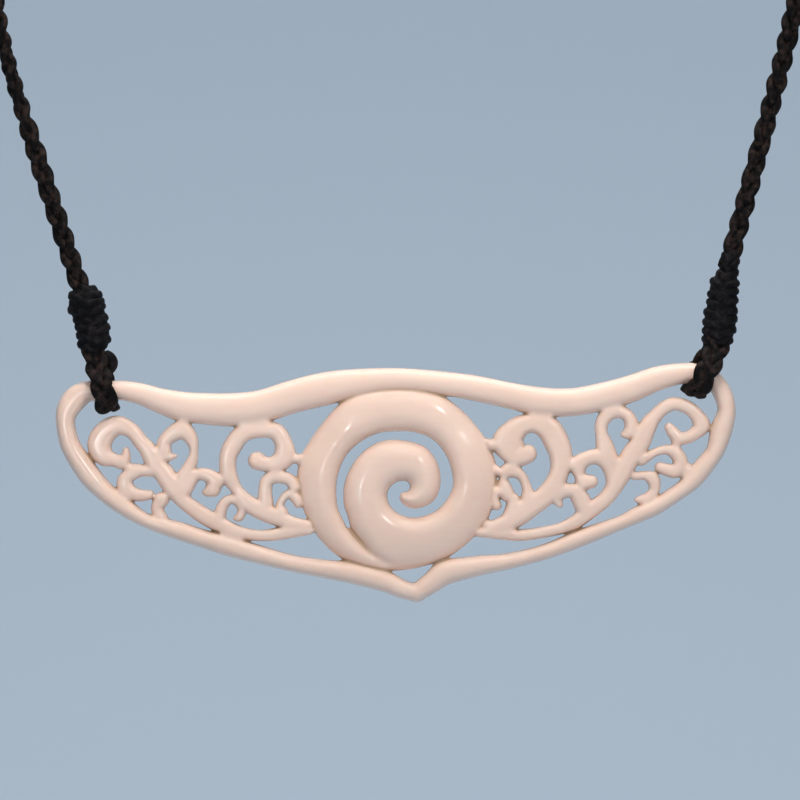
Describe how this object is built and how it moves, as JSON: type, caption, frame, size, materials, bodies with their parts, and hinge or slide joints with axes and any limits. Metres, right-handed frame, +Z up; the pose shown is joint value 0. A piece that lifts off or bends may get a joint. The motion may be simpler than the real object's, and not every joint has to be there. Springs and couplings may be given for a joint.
{
  "type": "carved koru pendant on a plaited cord",
  "caption": "Pierced bone breastplate of koru scrolls round a spiral disc, hung by cord loops from a dark plaited necklace",
  "frame": {"origin": "middle of the clasp at the nape, where the necklace hangs", "axes": "+Z up, +X to the right of the carved face, and the carved face looks towards -Y"},
  "size_m": [0.1154, 0.0078, 0.1785],
  "materials": {
    "bone": "polished carved bone, cream with brown in the grooves",
    "loop_cord": "black waxed thread",
    "binding_thread": "black waxed thread wound in close turns",
    "neck_cord": "black waxed cord plaited of three strands",
    "clasp_bone": "polished bone"
  },
  "bodies": {
    "root": {"carved_plate": "bone", "left_hanging_loop": "loop_cord", "right_hanging_loop": "loop_cord", "left_binding": "binding_thread", "right_binding": "binding_thread", "left_cord": "neck_cord", "right_cord": "neck_cord", "nape_clasp": "clasp_bone"}
  },
  "joints": []
}
